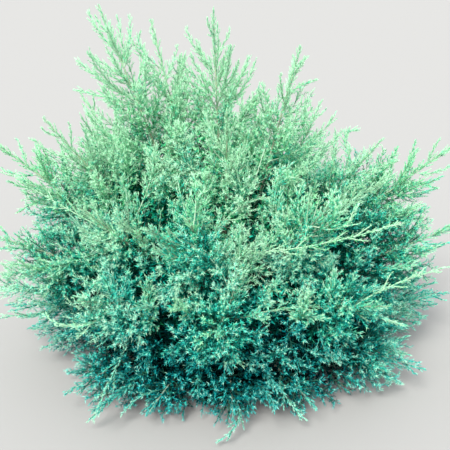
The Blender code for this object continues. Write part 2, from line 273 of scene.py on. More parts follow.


# how every needle stands: how uneven its turn, opening, length, tone and hue are, how much shorter
# needles are at a shoot's end, its lowest point, and how paler needles lose their blue and darker ones
# gain it, down to a limit: the tone carries paler new growth and also painted light and shade
needleForm = dict(turn=0.2, opening=(0.75, 1.25), shorter=0.15, size=(0.8, 1.2), tone=0.15, hue=0.25, lowest=0.001,
                  newTone=0.55, newHue=1.3, oldest=-0.14)


# needles: whorls of three every pitch, each whorl turned half a step, each needle one slim pointed
# face that stands off the shoot less towards its end
def needleMesh(shoots, rule, rng):
    span, count, pick, place, grade = spacing(shoots, rule)
    u = rule["first"] + span * grade
    line = lineOf(shoots, pick)
    root, stem = along(line, u), heading(line, u)
    side, other = squareAxes(stem)
    whorl = (len(pick), 3)
    turn = rng.uniform(0, 2 * math.pi, len(count))[pick] + place * math.pi / 3
    turn = turn[:, None] + np.arange(3) * 2 * math.pi / 3 + rng.normal(0, needleForm["turn"], whorl)
    outward = circleOf(turn, side[:, None], other[:, None])
    grade = grade[:, None]
    opening = np.radians(rule["openLow"] + (rule["openHigh"] - rule["openLow"]) * grade)
    opening = (opening * rng.uniform(*needleForm["opening"], whorl))[..., None]
    direction = np.cos(opening) * stem[:, None] + np.sin(opening) * outward
    length = rule["length"] * (1 - needleForm["shorter"] * grade) * rng.uniform(*needleForm["size"], whorl)
    base = root[:, None] + outward * (rule["thick"] * (1 - u))[:, None, None]
    across = unit(np.cross(direction, outward)) * (0.5 * rule["width"])
    points = np.stack([base - across, base + across, base + length[..., None] * direction], axis=2)
    points[..., 2] = np.maximum(points[..., 2], needleForm["lowest"])
    # paler towards the shoot's end by toneTip: new growth there, and painted shade on the needles deep at the base
    tone = shoots["tone"][pick][:, None] + rule["toneTip"] * (grade - 0.5) + rng.normal(0, needleForm["tone"], whorl)
    hue = shoots["hue"][pick][:, None] \
        + needleForm["newHue"] * np.maximum(tone - needleForm["newTone"], needleForm["oldest"]) \
        + rng.normal(0, needleForm["hue"], whorl)
    return points.reshape(-1, 3, 3), tone.reshape(-1), hue.reshape(-1)


# triangles between the rings of a grid of points, two to each of its cells, closed round each ring
def gridFaces(rings, sides):
    r, j = np.meshgrid(np.arange(rings - 1), np.arange(sides), indexing="ij")
    k = (j + 1) % sides
    a, b, c, d = r * sides + j, r * sides + k, (r + 1) * sides + k, (r + 1) * sides + j
    first = np.stack([a, b, c], axis=-1).reshape(-1, 3)
    second = np.stack([a, c, d], axis=-1).reshape(-1, 3)
    return np.concatenate([first, second])


# a piece from arrays of points and triangles, with values of each point where its bark reads them,
# which rides on the plant's one body and stands for the named nodes
def meshPiece(name, points, faces, material, slot, nodes, **pointValues):
    mesh = bpy.data.meshes.new(name)
    mesh.vertices.add(len(points))
    mesh.vertices.foreach_set("co", np.ascontiguousarray(points, dtype=np.float32).ravel())
    mesh.loops.add(len(faces) * 3)
    mesh.loops.foreach_set("vertex_index", np.ascontiguousarray(faces, dtype=np.int32).ravel())
    mesh.polygons.add(len(faces))
    mesh.polygons.foreach_set("loop_start", np.arange(len(faces), dtype=np.int32) * 3)
    mesh.update(calc_edges=True)
    mesh.materials.append(material)
    for key, values in pointValues.items():
        kind, field = ("FLOAT_VECTOR", "vector") if values.ndim == 2 else ("FLOAT", "value")
        mesh.attributes.new(key, kind, "POINT")
        mesh.attributes[key].data.foreach_set(field, np.ascontiguousarray(values, dtype=np.float32).ravel())
        mesh.shade_smooth()
    piece = bpy.data.objects.new(name, mesh)
    bpy.context.scene.collection.objects.link(piece)
    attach(piece, "root")
    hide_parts(*nodes)
    return piece


# a material of one dull colour
def plainMaterial(name, colour, roughness):
    material = bpy.data.materials.new(name)
    material.use_nodes = True
    shader = material.node_tree.nodes["Principled BSDF"]
    shader.inputs["Base Color"].default_value = (*colour, 1.0)
    shader.inputs["Roughness"].default_value = roughness
    shader.inputs["Specular IOR Level"].default_value = 0.02
    return material


limbs = limbList()
rng = np.random.default_rng(growth["seed"])
massNames = [f"mass_{limb['name']}" for limb in limbs]
print("limbs:", len(limbs))

# sprays of each kind: how many against the tier's own, where on the limb, how long, how far they
# may leave their limb's space, how much they rise, and their tone, which is painted shade on those
# inside and on those hanging under the side arms
sprayRules = [
    # those of the solids
    dict(stream=0, many=dict(low=1.0, middle=1.0, upper=1.0, crown=1.0), first=0.05, share=0.87, long=1.0,
         shortest=0.035, margin=-0.010, rise=0.0, lance=0.0, tone=0.0, slender=False),
    # rising ones between them
    dict(stream=500, many=dict(low=3.0, middle=2.4, upper=3.1, crown=2.3), first=-0.05, share=0.75, long=0.90,
         shortest=0.040, margin=-0.040, rise=0.9, lance=0.0, tone=-0.05, slender=False),
    # those inside the shrub, nearer to the trunk
    dict(stream=900, many=dict(low=1.5, middle=1.2, upper=1.1, crown=1.1), first=-0.28, share=0.42, long=0.70,
         shortest=0.040, margin=-0.040, rise=0.6, lance=0.0, tone=-0.20, slender=False),
    # those that hang under the side arms
    dict(stream=1700, many=dict(low=0.0, middle=0.9, upper=0.3, crown=0.0), first=0.05, share=0.60, long=0.85,
         shortest=0.040, margin=-0.080, rise=-2.0, lance=0.0, tone=-0.10, slender=False),
    # slender ones that stand up out of the top
    dict(stream=1300, many=dict(low=0.0, middle=0.0, upper=0.25, crown=0.25), first=0.36, share=0.46, long=0.95,
         shortest=0.060, margin=-0.050, rise=1.6, lance=0.28, tone=0.02, slender=True),
]
# tone by tier is darker low down and paler at the top: partly paler new growth on top, partly painted shade under the
# tiers above and painted light on the open top
sprayLook = dict(
    tone=dict(low=0.395, middle=0.54, upper=0.82, crown=0.86), risingTone=0.14, unevenTone=0.06,
    hueHeight=0.270, unevenHue=0.21, mostHue=2.25,          # height of one step of hue, and how far hues mingle
    compact=dict(low=0.38, middle=0.52, upper=0.57, crown=0.62),      # a limb longer than this runs out into
    leastSlender=0.035, mostSlender=0.22, slenderTone=0.04,           # slender shoots, this far from its tip
    clearFrom=0.33, clearOver=0.14, clearTone=0.24, clearHue=0.55,    # beyond the shade of the arms above
    leaderTone=0.10,
)


# how far a shoot's end stands clear of the shade of the arms above it, from 0 to 1
def clearOf(tips):
    return np.clip((np.hypot(tips[..., 0], tips[..., 1]) - sprayLook["clearFrom"]) / sprayLook["clearOver"], 0, 1)


# hue from the height of a shoot's end, greener where it stands clear, uneven so that neighbours mingle
def hueOf(tips, rng):
    return np.minimum(tips[:, 2] / sprayLook["hueHeight"], sprayLook["mostHue"]) \
        + sprayLook["clearHue"] * clearOf(tips) + sprayLook["unevenHue"] * rng.normal(0, 1, len(tips))


# a set of shoots from rows of start, bend, end and tone
def gather(rows):
    a, b, c = [np.array([row[k] for row in rows]) for k in range(3)]
    return shootSet(a, b, c, np.array([row[3] for row in rows]), hueOf(c, rng))


# rows of the sprays of all limbs: full ones, and slender ones near the tips of long limbs and as
# each limb's leader
rows = dict(full=[], slender=[])
for limb in limbs:
    base = sprayLook["tone"][limb["tier"]]
    slenderReach = min(max(limb["reach"] - sprayLook["compact"][limb["tier"]], sprayLook["leastSlender"]),
                       sprayLook["mostSlender"])
    for rule in sprayRules:
        for root, bend, tip, toTip, s in sideSprays(limb, limbs, rule):
            slender = toTip < slenderReach or rule["slender"]
            tone = base + sprayLook["risingTone"] * (s - 0.5) + rule["tone"] \
                + rng.normal(0, sprayLook["unevenTone"]) + sprayLook["slenderTone"] * slender
            if limb["tier"] == "low":
                tone += sprayLook["clearTone"] * clearOf(tip)
            rows["slender" if slender else "full"].append((root, bend, tip, tone))
    foot, _, end = limb["line"]
    u = 1 - growth["leaderLength"] / np.linalg.norm(end - foot) * np.array([1.0, 0.5])
    root, middle = along(limb["line"], u)
    rows["slender"].append((root, 2 * middle - 0.5 * (root + end), end, base + sprayLook["leaderTone"]))

# long shoots that arch over the body, each with slender side shoots
streamerRule = dict(
    count=dict(low=1, middle=2, upper=1, crown=0), first=0.08, last=0.40, openLow=28, openHigh=44,
    shortest=0.20, longest=0.27, aside=30, level=0.5, cut=0.10, lowest=0.03, tone=0.18,
    side=dict(first=0.18, last=0.90, least=4, pitch=0.0260, openLow=46, openHigh=30, sizeLow=0.26, sizeHigh=0.12,
              power=0.8, shortest=0.020, longest=0.065, lift=0.50, toneLow=-0.04, toneHigh=0.04, toneSpread=0.03,
              hueSpread=0.10),
)


# streamers of a limb leave it to one side and somewhat upwards, level out, and are shortened until
# they stay behind its tip and above the ground
def streamersOf(limb, rng):
    streamers = []
    for j in range(streamerRule["count"][limb["tier"]]):
        s = rng.uniform(streamerRule["first"], streamerRule["last"])
        u = growth["massStart"] + (1 - growth["massStart"]) * s
        root, stem = along(limb["line"], u), heading(limb["line"], u)
        side, other = squareAxes(stem[None])
        turn = math.radians(rng.uniform(0, streamerRule["aside"]))
        outward = (-1) ** (limb["index"] + j) * math.cos(turn) * side[0] + math.sin(turn) * abs(other[0])
        opening = math.radians(rng.uniform(streamerRule["openLow"], streamerRule["openHigh"]))
        first = math.cos(opening) * stem + math.sin(opening) * outward
        later = unit(0.5 * first + 0.5 * unit(stem * (1.0, 1.0, streamerRule["level"])))
        length = rng.uniform(streamerRule["shortest"], streamerRule["longest"])
        while length > streamerRule["cut"]:
            middle = root + 0.5 * length * first
            tip = middle + 0.5 * length * later
            behind = (tip - limb["line"][2]) @ heading(limb["line"], 1.0) < 0
            if behind and tip[2] > streamerRule["lowest"]:
                tone = sprayLook["tone"][limb["tier"]] + streamerRule["tone"]
                streamers.append((root, 2 * middle - 0.5 * (root + tip), tip, tone))
                break
            length *= growth["shortening"]
    return streamers


streamers = gather([row for limb in limbs for row in streamersOf(limb, rng)])

# shoots that stand out in the picture, each grown from a limb: its name, the share along it, the
# point that the shoot bends towards, and its end
longShoots = dict(
    wands=[                # long and thin, over the foliage
        ("upper_7", 0.72, (0.157, -0.311, 0.438), (0.359, -0.200, 0.459)),
        ("upper_8", 0.87, (0.243, -0.282, 0.459), (0.274, -0.180, 0.493)),
        ("middle_9", 0.61, (0.187, -0.261, 0.343), (0.386, -0.239, 0.227)),
        ("middle_10", 0.83, (0.325, -0.262, 0.348), (0.464, -0.236, 0.375)),
        ("middle_8", 0.79, (-0.293, -0.316, 0.235), (-0.391, -0.229, 0.253)),
        ("middle_7", 0.55, (-0.368, -0.146, 0.175), (-0.518, -0.123, 0.181)),
        ("upper_7", 0.74, (0.022, -0.167, 0.503), (0.096, -0.123, 0.477)),
        ("middle_8", 0.60, (-0.261, -0.290, 0.102), (-0.286, -0.314, 0.033)),
        ("low_7", 0.80, (-0.185, -0.283, 0.092), (-0.228, -0.294, 0.032)),
        ("low_8", 0.79, (0.060, -0.345, 0.055), (-0.019, -0.362, 0.016)),
        ("low_9", 0.67, (0.099, -0.307, 0.117), (0.178, -0.311, 0.030)),
        ("middle_10", 0.63, (0.192, -0.294, 0.203), (0.254, -0.244, 0.130)),
        ("low_10", 0.67, (0.361, -0.196, 0.189), (0.412, -0.189, 0.094)),
        ("upper_6", 0.79, (-0.367, -0.073, 0.433), (-0.501, -0.018, 0.502)),
        ("middle_6", 0.75, (-0.434, 0.008, 0.472), (-0.438, 0.086, 0.519)),
    ],
    cords=[                # upright, beside the leaders
        ("crown_4", 0.83, (-0.227, 0.114, 0.735), (-0.243, 0.149, 0.804)),
        ("crown_4", 0.83, (-0.211, 0.114, 0.734), (-0.214, 0.150, 0.806)),
        ("crown_4", 0.87, (-0.286, 0.122, 0.771), (-0.307, 0.144, 0.814)),
        ("crown_4", 0.79, (-0.251, 0.103, 0.688), (-0.306, 0.121, 0.723)),
        ("crown_4", 0.74, (-0.300, 0.107, 0.674), (-0.335, 0.123, 0.706)),
        ("crown_4", 0.72, (-0.281, 0.092, 0.633), (-0.338, 0.099, 0.646)),
        ("crown_2", 0.82, (-0.012, 0.116, 0.732), (-0.018, 0.143, 0.785)),
        ("crown_2", 0.81, (-0.055, 0.108, 0.709), (-0.059, 0.125, 0.742)),
        ("crown_2", 0.80, (-0.005, 0.109, 0.708), (0.011, 0.126, 0.740)),
        ("crown_2", 0.75, (-0.068, 0.107, 0.675), (-0.109, 0.125, 0.710)),
        ("crown_2", 0.72, (-0.054, 0.100, 0.647), (-0.103, 0.115, 0.678)),
        ("crown_2", 0.72, (0.041, 0.108, 0.663), (0.055, 0.133, 0.713)),
        ("crown_2", 0.70, (0.052, 0.103, 0.641), (0.069, 0.133, 0.701)),
        ("crown_1", 0.89, (0.167, 0.045, 0.732), (0.176, 0.046, 0.734)),
        ("crown_1", 0.85, (0.169, 0.032, 0.684), (0.201, 0.035, 0.688)),
        ("crown_3", 0.85, (-0.220, 0.212, 0.715), (-0.202, 0.226, 0.743)),
        ("upper_1", 0.85, (0.255, 0.090, 0.552), (0.305, 0.090, 0.552)),
        ("low_5", 0.71, (-0.465, -0.066, 0.225), (-0.534, -0.039, 0.196)),
    ],
    plumes=[
        ("middle_9", 0.66, (0.034, -0.257, 0.369), (0.106, -0.219, 0.443)),
        ("middle_9", 0.66, (0.045, -0.278, 0.383), (-0.075, -0.309, 0.471)),
        ("middle_9", 0.73, (0.036, -0.294, 0.371), (0.030, -0.226, 0.459)),
        ("middle_8", 0.63, (-0.203, -0.366, 0.230), (-0.240, -0.187, 0.332)),
        ("middle_8", 0.54, (-0.160, -0.297, 0.213), (-0.162, -0.238, 0.343)),
        ("middle_8", 0.64, (-0.291, -0.273, 0.189), (-0.279, -0.274, 0.341)),
        ("middle_10", 0.75, (0.217, -0.283, 0.327), (0.228, -0.197, 0.362)),
        ("middle_8", 0.76, (-0.329, -0.145, 0.341), (-0.342, -0.079, 0.383)),
        ("upper_8", 0.86, (0.245, -0.270, 0.470), (0.217, -0.163, 0.514)),
        ("middle_7", 0.58, (-0.396, -0.149, 0.203), (-0.358, -0.158, 0.340)),
        ("upper_5", 0.60, (-0.193, -0.083, 0.527), (-0.237, -0.004, 0.563)),
        ("upper_6", 0.75, (-0.129, -0.112, 0.540), (-0.165, -0.028, 0.549)),
        ("upper_5", 0.59, (-0.265, -0.085, 0.428), (-0.276, -0.106, 0.523)),
        ("crown_4", 0.41, (-0.135, -0.012, 0.446), (-0.103, -0.043, 0.520)),
        ("upper_7", 0.70, (-0.039, -0.155, 0.514), (-0.041, -0.161, 0.547)),
        ("upper_8", 0.73, (0.072, -0.182, 0.493), (0.128, -0.088, 0.527)),
        ("crown_5", 0.58, (0.050, -0.200, 0.488), (0.023, -0.144, 0.551)),
        ("middle_10", 0.55, (0.142, -0.310, 0.256), (0.170, -0.271, 0.334)),
        ("upper_8", 0.50, (0.132, -0.226, 0.297), (0.132, -0.250, 0.409)),
        ("crown_5", 0.70, (-0.116, -0.138, 0.554), (-0.084, -0.048, 0.580)),
        ("crown_2", 0.52, (-0.077, 0.047, 0.510), (-0.062, 0.019, 0.583)),
        ("crown_4", 0.49, (-0.090, -0.093, 0.588), (-0.093, -0.065, 0.609)),
        ("middle_7", 0.64, (-0.384, -0.228, 0.293), (-0.480, -0.171, 0.292)),
        ("upper_6", 0.74, (-0.406, -0.181, 0.310), (-0.468, -0.174, 0.327)),
        ("middle_7", 0.80, (-0.438, -0.112, 0.345), (-0.494, -0.097, 0.347)),
        ("upper_7", 0.87, (-0.089, -0.243, 0.523), (-0.096, -0.174, 0.546)),
        ("upper_7", 0.92, (-0.050, -0.274, 0.553), (-0.062, -0.205, 0.568)),
        ("upper_8", 0.81, (0.139, -0.178, 0.495), (0.166, -0.110, 0.506)),
        ("crown_4", 0.36, (-0.135, -0.103, 0.451), (-0.135, -0.090, 0.523)),
        ("upper_8", 0.64, (0.141, -0.083, 0.493), (0.132, -0.123, 0.524)),
    ],
    bare=[
        ("crown_1", 0.42, (0.026, -0.236, 0.486), (0.110, -0.025, 0.622)),
    ],
)
longLook = dict(
    wandTone=0.80, cordTone=0.80, plumeTone=0.78, bareTone=0.5, greener=0.5,
    side=dict(first=0.30, last=0.94, least=3, pitch=0.0300, openLow=44, openHigh=26, sizeLow=0.20, sizeHigh=0.08,
              power=0.8, shortest=0.010, longest=0.042, lift=0.25, toneLow=-0.04, toneHigh=0.04, toneSpread=0.03,
              hueSpread=0.10),
)


# the listed shoots of a kind as rows of start, bend, end and tone
def listedShoots(kind, tone):
    lines = {limb["name"]: limb["line"] for limb in limbs}
    return [(along(lines[name], share), np.array(bend), np.array(tip), tone)
            for name, share, bend, tip in longShoots[kind]]


wands = gather(listedShoots("wands", longLook["wandTone"]))
wands["hue"] += longLook["greener"]
wands = together(wands, growShoots(wands, longLook["side"], rng))
rows["slender"] += listedShoots("cords", longLook["cordTone"])
rows["full"] += listedShoots("plumes", longLook["plumeTone"])
full = gather(rows["full"])
slender = together(gather(rows["slender"]), streamers, growShoots(streamers, streamerRule["side"], rng))
print(f"sprays: {len(full['length'])} full ones of {full['length'].sum():.0f} m and "
      f"{len(slender['length'])} slender ones of {slender['length'].sum():.0f} m")

# finer shoots: on upright sprays they are slim rods, those of the skirt spread like small stars,
# slender sprays are cords with short ones, and wands bear only knobs
branchletRules = {
    "rods": dict(first=0.05, last=0.98, least=5, pitch=0.0066, openLow=56, openHigh=36, sizeLow=0.28, sizeHigh=0.11,
                 power=0.9, shortest=0.009, longest=0.034, lift=0.60, toneLow=-0.16, toneHigh=0.12,
                 toneSpread=0.11, hueSpread=0.12),
    "stars": dict(first=0.04, last=0.98, least=5, pitch=0.0112, openLow=58, openHigh=38, sizeLow=0.45, sizeHigh=0.16,
                  power=0.9, shortest=0.012, longest=0.065, lift=0.40, toneLow=-0.14, toneHigh=0.10,
                  toneSpread=0.07, hueSpread=0.10),
    "cords": dict(first=0.08, last=0.96, least=3, pitch=0.0064, openLow=38, openHigh=24, sizeLow=0.26, sizeHigh=0.09,
                  power=1.0, shortest=0.006, longest=0.022, lift=0.20, toneLow=-0.08, toneHigh=0.06,
                  toneSpread=0.03, hueSpread=0.10),
    "wands": dict(first=0.26, last=0.98, least=4, pitch=0.0068, openLow=46, openHigh=30, sizeLow=0.20, sizeHigh=0.10,
                  power=1.0, shortest=0.004, longest=0.0085, lift=0.20, toneLow=-0.08, toneHigh=0.04,
                  toneSpread=0.05, hueSpread=0.15),
}
sprigRules = {
    "rods": dict(first=0.08, last=0.92, least=2, pitch=0.0068, openLow=48, openHigh=34, sizeLow=0.42, sizeHigh=0.24,
                 power=1.0, shortest=0.006, longest=0.014, lift=0.30, toneLow=-0.12, toneHigh=0.10,
                 toneSpread=0.12, hueSpread=0.12),
    "stars": dict(first=0.06, last=0.94, least=2, pitch=0.0070, openLow=52, openHigh=38, sizeLow=0.40, sizeHigh=0.24,
                  power=1.0, shortest=0.0070, longest=0.0165, lift=0.30, toneLow=-0.12, toneHigh=0.12,
                  toneSpread=0.10, hueSpread=0.12),
}
# lengths of branchlets that bear sprigs, or have a stem of their own, shares of sprays that spread
# like stars, which fall with height, and heights above which stems are as pale as those of the top,
# lower stems being darkened as painted shade
finer = dict(bearing=0.015, stemmed=0.026, starHeight=0.62, starOver=0.40, stars=(0.10, 0.88),
             paleSlender=0.20, paleFull=0.42)

# the foliage inside the shrub is plainer, and darker by painted shade: shares of the way out to its
# skin at which the foliage begins and at which its detail is full, and the metres behind the skin nearby
# that darken it with painted shade, less so towards the open top, while tips at the skin get painted light
shade = dict(
    centre=(0.0, 0.0, 0.10), bareShare=0.57, innerShare=0.83,
    wide=dict(turns=24, rises=8, share=0.85), near=dict(turns=72, rises=24, share=0.88),
    depth=7.0, start=0.10, deepest=-0.42, palest=0.16, innerTone=-0.20, innerHue=1.25,
    openFrom=1.25, openHeight=0.58, leastDepth=0.45,
)
# soft places of painted light, paler where plumes stand lit, and of painted shade, darker in the
# hollows between plumes: x, y, z, radius and tone
lightAndShadePatches = np.array([
    (-0.16, -0.12, 0.41, 0.069, -0.31), (-0.13, -0.27, 0.43, 0.035, -0.22), (-0.07, -0.30, 0.47, 0.055, -0.42),
    (0.03, -0.26, 0.33, 0.040, -0.22), (0.27, -0.07, 0.32, 0.026, -0.18), (0.16, -0.23, 0.36, 0.024, -0.18),
    (0.20, -0.23, 0.45, 0.058, -0.52), (0.29, -0.24, 0.32, 0.040, -0.18), (-0.25, -0.21, 0.35, 0.031, -0.13),
    (-0.08, -0.24, 0.04, 0.057, -0.14), (0.25, -0.19, 0.09, 0.044, -0.20), (0.04, -0.33, 0.28, 0.044, -0.12),
    (-0.14, -0.24, 0.18, 0.044, -0.14), (-0.30, -0.17, 0.13, 0.040, -0.18), (0.07, -0.25, 0.43, 0.058, 0.26),
    (-0.04, -0.24, 0.38, 0.048, 0.20), (-0.22, -0.25, 0.31, 0.048, 0.13), (-0.07, -0.28, 0.29, 0.040, 0.10),
    (-0.46, -0.01, 0.15, 0.066, 0.08), (-0.25, -0.05, 0.52, 0.062, 0.08), (0.24, -0.17, 0.34, 0.033, 0.09),
    (0.14, -0.20, 0.31, 0.029, 0.06), (0.22, -0.27, 0.25, 0.033, 0.09), (-0.16, -0.06, 0.53, 0.066, 0.22),
    (-0.08, -0.03, 0.53, 0.057, 0.18), (0.01, -0.13, 0.54, 0.057, 0.10), (0.10, -0.03, 0.48, 0.048, 0.10),
    (-0.12, -0.08, 0.42, 0.053, -0.12), (-0.09, -0.27, 0.47, 0.057, -0.24), (0.26, -0.23, 0.44, 0.044, -0.10),
    (-0.05, -0.35, 0.26, 0.057, -0.08), (-0.25, -0.25, 0.13, 0.048, -0.05), (-0.15, -0.21, 0.47, 0.072, -0.34),
    (0.16, -0.24, 0.18, 0.057, 0.06), (0.14, -0.24, 0.27, 0.075, 0.10), (0.08, -0.23, 0.33, 0.057, 0.08),
    (-0.26, -0.21, 0.10, 0.053, 0.08), (-0.04, -0.29, 0.44, 0.053, -0.18), (0.01, -0.31, 0.34, 0.048, -0.10),
    (0.06, -0.23, 0.38, 0.044, 0.10), (0.16, -0.17, 0.48, 0.057, -0.08), (-0.31, -0.01, 0.51, 0.062, 0.10),
    (0.32, 0.00, 0.44, 0.110, -0.07), (-0.10, -0.01, 0.45, 0.066, 0.12), (0.17, 0.02, 0.42, 0.057, 0.12),
])


# cell of the sky, of so many turns and rises, in which each tip lies as seen from the centre, and
# its distance from there
def skyCells(tips, grid):
    away = tips - np.array(shade["centre"])
    distance = np.linalg.norm(away, axis=1)
    turn = ((np.arctan2(away[:, 1], away[:, 0]) / (2 * math.pi)) % 1.0 * grid["turns"]).astype(int)
    rise = (np.arcsin(away[:, 2] / distance) / (math.pi / 2) * grid["rises"]).astype(int)
    return turn, np.clip(rise, 0, grid["rises"] - 1), distance


# distance of the skin of the shrub in each cell, which most tips in the cells around it stay below
def skinOf(tips, grid):
    turn, rise, distance = skyCells(tips, grid)
    skin = np.zeros((grid["turns"], grid["rises"]))
    for i in range(grid["turns"]):
        beside = (turn - i + 1) % grid["turns"] < 3
        for j in range(grid["rises"]):
            around = beside & (abs(rise - j) < 2)
            skin[i, j] = np.quantile(distance[around], grid["share"]) if around.any() else distance.max()
    return skin


# distance of each tip from the centre and that of the skin in its direction
def againstSkin(tips, grid, skin):
    turn, rise, distance = skyCells(tips, grid)
    return distance, skin[turn, rise]


# painted shade added to each tip's tone: darker by its depth behind the skin, less so towards the top, and painted
# light, paler, at and beyond the skin
def shadeTone(tips, skin):
    distance, reach = againstSkin(tips, shade["near"], skin)
    depth = shade["depth"] * np.clip(shade["openFrom"] - tips[:, 2] / shade["openHeight"], shade["leastDepth"], 1.0)
    return np.clip(shade["start"] - depth * (reach - distance), shade["deepest"], shade["palest"])


# painted light and shade that the patches add to each tip's tone, fading with the square of the distance from their
# middles
def lightAndShadeTone(tips):
    away = np.linalg.norm(tips[:, None] - lightAndShadePatches[None, :, :3], axis=2)
    return (lightAndShadePatches[:, 4] * np.exp(-(away / lightAndShadePatches[:, 3]) ** 2)).sum(axis=1)


limbShoots = shootSet(*[np.array([limb["line"][k] for limb in limbs]) for k in range(3)],
                      np.full(len(limbs), 0.62), hueOf(np.array([limb["line"][2] for limb in limbs]), rng))
starShare = np.clip((finer["starHeight"] - full["c"][:, 2]) / finer["starOver"], *finer["stars"])
spread = rng.uniform(size=len(full["length"])) < starShare
bare = gather(listedShoots("bare", longLook["bareTone"]))
bearing = {"rods": subset(full, ~spread), "stars": subset(full, spread), "cords": slender, "wands": wands}
grown = {form: growShoots(shoots, branchletRules[form], rng) for form, shoots in bearing.items()}
dense = np.concatenate([grown["rods"]["c"], grown["stars"]["c"]])
wideSkin, nearSkin = skinOf(dense, shade["wide"]), skinOf(dense, shade["near"])

# what bears needles, their form and the share of it that is bare, and what has a stem
needled = [(limbShoots, "limbs", 0.45)]
stems = {"stems_leader": [bare], "stems_spray": [], "stems_pale_twig": [], "stems_pale_sprig": [],
         "stems_twig": [], "stems_sprig": []}
for form, sprays in bearing.items():
    branchlets = grown[form]
    # painted light and shade of the patches, then painted shade by depth behind the skin
    branchlets["tone"] += lightAndShadeTone(branchlets["c"])
    branchlets["tone"] += shadeTone(branchlets["c"], nearSkin)
    isSlender = form in ("cords", "wands")
    pale = sprays["c"][:, 2] > finer["paleSlender" if isSlender else "paleFull"]
    stems["stems_leader"].append(subset(sprays, pale))
    stems["stems_spray"].append(subset(sprays, ~pale))
    needled.append((sprays, form, 0.12 if isSlender else 0.50))
    if isSlender:
        needled.append((branchlets, form, 0.05))
        stems["stems_sprig"].append(branchlets)
        print(f"{form}: {len(branchlets['length'])} of {branchlets['length'].sum():.0f} m")
        continue
    distance, skin = againstSkin(branchlets["c"], shade["wide"], wideSkin)
    out = distance / skin
    fine = subset(branchlets, out > shade["innerShare"])
    inner = subset(branchlets, (out > shade["bareShare"]) & (out <= shade["innerShare"]))
    # painted shade on the plainer foliage inside
    inner["tone"] += shade["innerTone"]
    inner["hue"] *= shade["innerHue"]
    sprigs = growShoots(subset(fine, fine["length"] > finer["bearing"]), sprigRules[form], rng)
    stemmed = fine["length"] > finer["stemmed"]
    twigs, tips = ("stems_pale_twig", "stems_pale_sprig") if form == "rods" else ("stems_twig", "stems_sprig")
    stems[twigs].append(subset(fine, stemmed))
    stems[tips] += [subset(fine, ~stemmed), sprigs]
    stems["stems_sprig"].append(inner)
    needled += [(fine, form, 0.25), (sprigs, form, 0.12), (inner, "inner", 0.10)]
    print(f"{form}: {len(fine['length'])} fine, {len(inner['length'])} inner, {len(sprigs['length'])} sprigs of "
          f"{sprigs['length'].sum():.0f} m")

needleRules = {
    "rods": dict(pitch=0.0040, openLow=44, openHigh=24, length=0.0072, width=0.0017, thick=0.0, toneTip=0.62),
    "stars": dict(pitch=0.0042, openLow=54, openHigh=30, length=0.0080, width=0.0017, thick=0.0, toneTip=0.56),
    "cords": dict(pitch=0.0036, openLow=32, openHigh=16, length=0.0066, width=0.0024, thick=0.0010, toneTip=0.10),
    "inner": dict(pitch=0.0135, openLow=55, openHigh=35, length=0.0140, width=0.0052, thick=0.0, toneTip=0.05),
    "wands": dict(pitch=0.0032, openLow=36, openHigh=18, length=0.0050, width=0.0018, thick=0.0006, toneTip=0.10),
    "limbs": dict(pitch=0.0026, openLow=48, openHigh=18, length=0.0080, width=0.0022, thick=0.0040, toneTip=0.24),
}
# linear colours of the needles from the shade inside the shrub to the new growth at the tips
needleColours = dict(
    skirt=[(0.000, 0.014, 0.017), (0.000, 0.070, 0.082), (0.000, 0.190, 0.205),
           (0.012, 0.370, 0.365), (0.085, 0.550, 0.500), (0.240, 0.650, 0.570)],
    body=[(0.000, 0.082, 0.058), (0.002, 0.235, 0.165), (0.016, 0.440, 0.320),
          (0.050, 0.615, 0.455), (0.165, 0.700, 0.515), (0.375, 0.720, 0.565)],
    crown=[(0.001, 0.085, 0.030), (0.015, 0.270, 0.100), (0.085, 0.490, 0.205),
           (0.225, 0.690, 0.360), (0.345, 0.735, 0.425), (0.440, 0.735, 0.500)],
)


# colours halfway between those of two families
def halfway(one, other):
    return (0.5 * (np.array(needleColours[one]) + np.array(needleColours[other]))).tolist()


# families of colours from the ground up: name, slot and colours
families = [
    ("skirt", "low_needles", needleColours["skirt"]),
    ("low", "low_needles", halfway("skirt", "body")),
    ("body", "middle_needles", needleColours["body"]),
    ("high", "middle_needles", halfway("body", "crown")),
    ("crown", "crown_needles", needleColours["crown"]),
]
toneSteps = len(needleColours["body"])
needleRoughness = 0.55
mostNeedles = 190000       # in one piece

# each needle goes to the family of its hue, two families to a step of it, and to the step of its tone
dealt = {(family, step): [] for family in range(len(families)) for step in range(toneSteps)}
for shoots, form, start in needled:
    points, tone, hue = needleMesh(shoots, dict(needleRules[form], first=start, last=1.0), rng)
    step = np.clip((tone * toneSteps).astype(int), 0, toneSteps - 1)
    family = np.clip(np.round(2 * hue - 1).astype(int), 0, len(families) - 1)
    for key in dealt:
        dealt[key].append(points[(family == key[0]) & (step == key[1])])
total = 0
for (family, step), chosen in dealt.items():
    points = np.concatenate(chosen)
    if len(points) == 0:
        continue
    name, slot, colours = families[family]
    material = plainMaterial(f"{name} needles {step + 1}", colours[step], needleRoughness)
    for part, some in enumerate(np.array_split(points, math.ceil(len(points) / mostNeedles))):
        meshPiece(f"needles_{name}_{step + 1}_{part + 1}", some.reshape(-1, 3),
                  np.arange(3 * len(some)).reshape(-1, 3), material, slot, massNames)
    total += len(points)
print("needles:", total)

